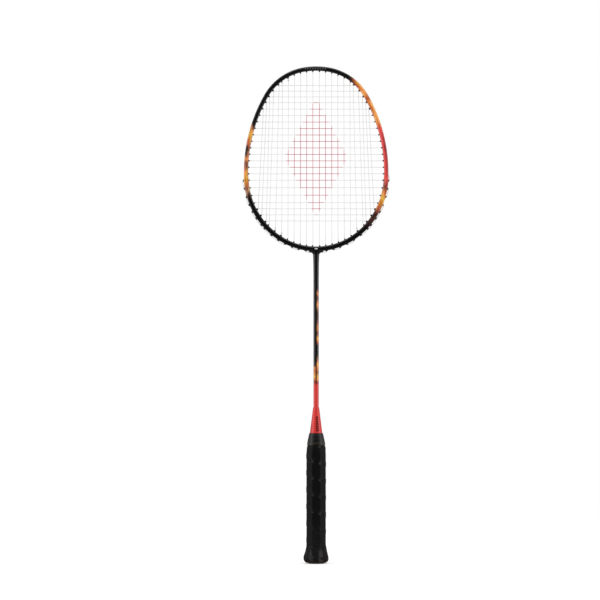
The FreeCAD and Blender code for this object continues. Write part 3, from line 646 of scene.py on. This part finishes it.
# (height, across flats, corner radius) in millimetres, from the butt upwards
GRIP_PROFILE = [
    (1.2, 27.4, 9.0), (2.4, 30.9, 8.0), (3.8, 32.9, 7.0), (6.4, 33.8, 7.0), (9.2, 33.3, 7.0),
    (13.2, 31.4, 6.0), (17.3, 29.1, 5.2), (20.5, 27.6, 4.6), (24.0, 26.6, 4.0), (30.0, 26.2, 3.2),
    (146.0, 26.2, 3.2), (151.0, 26.0, 3.6), (156.0, 25.2, 5.0), (161.0, 23.4, 8.0), (170.0, 20.4, 9.6),
]


def seam_height(turn, height):
    """How far the wound strip stands out from the smooth handle."""
    strip = (height / GRIP_PITCH + turn / (2 * math.pi) - GRIP_PHASE) % 1.0
    rise = min(strip / 0.012, 1.0)
    if strip < GRIP_OVERLAP:
        lift = rise
    else:
        ease = min((strip - GRIP_OVERLAP) / 0.10, 1.0)
        lift = 1 - ease * ease * (3 - 2 * ease)
    trough = -0.30 * math.exp(-(((strip - 0.985) / 0.018) ** 2))
    crown = 0.22 * math.sin(math.pi * strip)
    return GRIP_STEP * (lift + trough + crown)


def ring_mesh(reach, heights, around, inset):
    """A tube whose outside is reach(turn, height), closed by folding its two ends inwards."""
    bm = bmesh.new()
    rings = []
    rows = [(heights[0], inset)] + [(h, 0.0) for h in heights] + [(heights[-1], inset)]
    for height, inward in rows:
        ring = []
        for k in range(around):
            turn = 2 * math.pi * k / around
            radius = reach(turn, height) - inward
            ring.append(bm.verts.new((radius * math.cos(turn), radius * math.sin(turn), height)))
        rings.append(ring)
    for low, high in zip(rings, rings[1:]):
        for k in range(around):
            nxt = (k + 1) % around
            bm.faces.new((low[k], low[nxt], high[nxt], high[k]))
    return bm


def make_grip():
    """The strip, wound up the handle in overlapping turns."""

    def reach(turn, height):
        across, corner = between(GRIP_PROFILE, height / MM)
        return octagon_reach(turn, across * MM, corner * MM) + seam_height(turn, height)

    count = 420
    heights = [GRIP_BOTTOM + (GRIP_TOP - GRIP_BOTTOM) * k / count for k in range(count + 1)]
    bm = ring_mesh(reach, heights, 256, 1.6 * MM)
    piece = new_piece("grip_strip", bm, grip_material())
    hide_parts("grip_wrap")
    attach(piece, "root")


# (height, across flats, corner radius), as GRIP_PROFILE
TAPE_PROFILE = [
    (160.6, 24.7, 8.6), (162.0, 24.5, 8.6), (167.0, 22.7, 10.2), (172.4, 20.5, 9.9),
    (177.0, 18.3, 9.1),
]


def make_tape():
    """Three and a bit turns of tape, the last one ending in a slightly lifted slanting edge."""

    def reach(turn, height):
        across, corner = between(TAPE_PROFILE, height / MM)
        wrinkle = 0.05 * MM * math.sin(9 * turn + height / MM * 0.9) * math.sin(height / MM * 1.7)
        slope = (height - TAPE_BOTTOM) / (TAPE_TOP - TAPE_BOTTOM)
        layer = 0.14 * MM if (turn - 0.5 * slope) % (2 * math.pi) < 2.4 else 0.0
        band = 0.10 * MM if TAPE_DOUBLED[0] < height < TAPE_DOUBLED[1] else 0.0
        return octagon_reach(turn, across * MM, corner * MM) + wrinkle + layer + band

    count = 90
    heights = [TAPE_BOTTOM + (TAPE_TOP - TAPE_BOTTOM) * k / count for k in range(count + 1)]
    bm = ring_mesh(reach, heights, 256, 0.8 * MM)
    piece = new_piece("tape_band", bm, tape_material())
    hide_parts("finishing_tape")
    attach(piece, "root")


def make_badge():
    """A turned disc with a raised rim, a shallow dished face and two fine rings."""
    profile = [
        (0.0, 0.45), (3.2, 0.45), (3.4, 0.25), (3.9, 0.25), (4.1, 0.45), (7.0, 0.40), (7.2, 0.22),
        (7.6, 0.22), (7.8, 0.38), (8.6, 0.34), (9.0, 0.05), (9.2, 0.0), (10.0, 0.0), (10.35, 0.1),
        (10.5, 0.4), (10.5, 1.2), (0.0, 1.2),
    ]
    around = 160
    bm = bmesh.new()
    rings = []
    for radius, height in profile:
        if radius == 0.0:
            rings.append([bm.verts.new((0, 0, height * MM))])
            continue
        ring = []
        for k in range(around):
            turn = 2 * math.pi * k / around
            place = (radius * math.cos(turn), radius * math.sin(turn), height)
            ring.append(bm.verts.new(Vector(place) * MM))
        rings.append(ring)
    for low, high in zip(rings, rings[1:]):
        for k in range(around):
            nxt = (k + 1) % around
            if len(low) == 1:
                bm.faces.new((low[0], high[k], high[nxt]))
            elif len(high) == 1:
                bm.faces.new((low[k], high[0], low[nxt]))
            else:
                bm.faces.new((low[nxt], low[k], high[k], high[nxt]))
    bmesh.ops.recalc_face_normals(bm, faces=bm.faces)
    piece = new_piece("badge_disc", bm, plastic("badge_moulding", (26, 26, 28), 0.30, 2400.0), False)
    piece.data.shade_smooth()
    piece.data.set_sharp_from_angle(angle=math.radians(30))
    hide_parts("end_badge")
    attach(piece, "root")


# ---------------------------------------------------------------- studio
# How bright the studio looks in a reflection, by direction: -1 is out of the racket's face, 1 behind it
REFLECTED_STUDIO = [
    (-1.0, 0.02), (-0.86, 0.03), (-0.66, 0.80), (0.30, 0.80), (0.60, 0.45), (0.85, 0.16), (1.0, 0.06),
]
SOFT_LIGHT = 0.82


def make_world():
    """A white studio: even soft light, which gloss sees as two broad grey sides and darker ends."""
    world = bpy.data.worlds.new("studio")
    bpy.context.scene.world = world
    world.use_nodes = True
    world.cycles.sampling_method = "NONE"
    tree = world.node_tree
    tree.nodes.clear()

    def add(kind, **settings):
        made = tree.nodes.new(kind)
        for key, value in settings.items():
            setattr(made, key, value)
        return made

    def background(strength):
        made = add("ShaderNodeBackground")
        made.inputs["Color"].default_value = (1, 1, 1, 1)
        if isinstance(strength, float):
            made.inputs["Strength"].default_value = strength
        else:
            tree.links.new(strength, made.inputs["Strength"])
        return made.outputs[0]

    def choose(test, otherwise, chosen):
        made = add("ShaderNodeMixShader")
        tree.links.new(test, made.inputs[0])
        tree.links.new(otherwise, made.inputs[1])
        tree.links.new(chosen, made.inputs[2])
        return made.outputs[0]

    parts = add("ShaderNodeSeparateXYZ")
    tree.links.new(add("ShaderNodeTexCoord").outputs["Generated"], parts.inputs[0])
    scaled = add("ShaderNodeMapRange")
    scaled.inputs["From Min"].default_value = -1.0
    tree.links.new(parts.outputs[1], scaled.inputs["Value"])
    ramp = add("ShaderNodeValToRGB")
    tree.links.new(scaled.outputs[0], ramp.inputs[0])
    elements = ramp.color_ramp.elements
    for index, (direction, brightness) in enumerate(REFLECTED_STUDIO):
        share = (direction + 1) / 2
        element = elements[index] if index < 2 else elements.new(share)
        element.position = share
        element.color = (brightness, brightness, brightness, 1.0)
    rays = add("ShaderNodeLightPath").outputs
    reflected = background(ramp.outputs[0])
    light = choose(rays["Is Glossy Ray"], background(SOFT_LIGHT), reflected)
    seen = choose(rays["Is Camera Ray"], light, background(1.0))
    tree.links.new(seen, add("ShaderNodeOutputWorld").inputs[0])


def make_floor():
    bm = bmesh.new()
    bmesh.ops.create_circle(bm, cap_ends=True, segments=128, radius=1.1)
    shader = Shader("pale_floor")
    rays = shader.node("ShaderNodeLightPath").outputs
    shader.surface(
        Base_Color=shader.mix(rays["Is Glossy Ray"], (0.9, 0.9, 0.9, 1), (0.2, 0.2, 0.2, 1)),
        Roughness=0.9,
        Emission_Color=(1, 1, 1, 1),
        Emission_Strength=shader.math("MULTIPLY_ADD", rays["Is Glossy Ray"], -0.24, 0.25),
    )
    floor = new_piece("floor", bm, shader.material, False)
    floor.location.z = CAD_BOX[0].z - 0.2 * MM


def area_light(name, location, target, width, height, power):
    data = bpy.data.lights.new(name, "AREA")
    data.shape = "RECTANGLE"
    data.size, data.size_y = width, height
    data.energy = power
    light = bpy.data.objects.new(name, data)
    light.location = location
    light.rotation_euler = (Vector(target) - Vector(location)).to_track_quat("-Z", "Y").to_euler()
    bpy.context.scene.collection.objects.link(light)


def make_lights():
    middle = (0, 0, 0.36)
    area_light("left_bank", (-1.9, -0.5, 0.7), middle, 0.8, 1.8, 9)
    area_light("right_bank", (1.9, -0.5, 0.7), middle, 0.8, 1.8, 8)
    area_light("top_bank", (0, -0.6, 2.2), middle, 1.6, 1.0, 8)


def make_camera():
    data = bpy.data.cameras.new("camera")
    data.sensor_width = 36.0
    data.lens = 36.0 * CAMERA_DISTANCE / FRAME_WIDTH
    data.clip_start, data.clip_end = 0.05, 50.0
    camera = bpy.data.objects.new("camera", data)
    camera.location = (CAMERA_X, -CAMERA_DISTANCE, CAMERA_Z)
    camera.rotation_euler = (math.radians(90), 0, 0)
    bpy.context.scene.collection.objects.link(camera)
    bpy.context.scene.camera = camera


# ---------------------------------------------------------------- assembly
make_camera()
make_world()
make_floor()
make_lights()

dress("head_hoop", hoop_paint())
dress("throat_yoke", throat_paint())
dress("shaft", shaft_paint())
dress("cone_cap", cone_paint())
dress("main_string", string_material("lengthwise_nylon", "z"))
dress("cross_string", string_material("crosswise_nylon", "x"))
dress("string_knots", string_material("knotted_nylon", "z"))
grommet_plastic = plastic("grommet_moulding", (7, 7, 8), 0.34, 2600.0)
for node in NODES:
    if node.endswith("_grommets"):
        dress(node, grommet_plastic)
dress("butt_cap", plastic("butt_moulding", (15, 15, 16), 0.42, 1500.0))
dress("throat_core", metal("core_alloy", (176, 178, 182), 0.38))
dress("grip_staple", metal("staple_wire", (168, 166, 160), 0.30))
dress("handle_core", wood())
make_grip()
make_tape()
make_badge()

bpy.context.scene.view_settings.view_transform = "Standard"
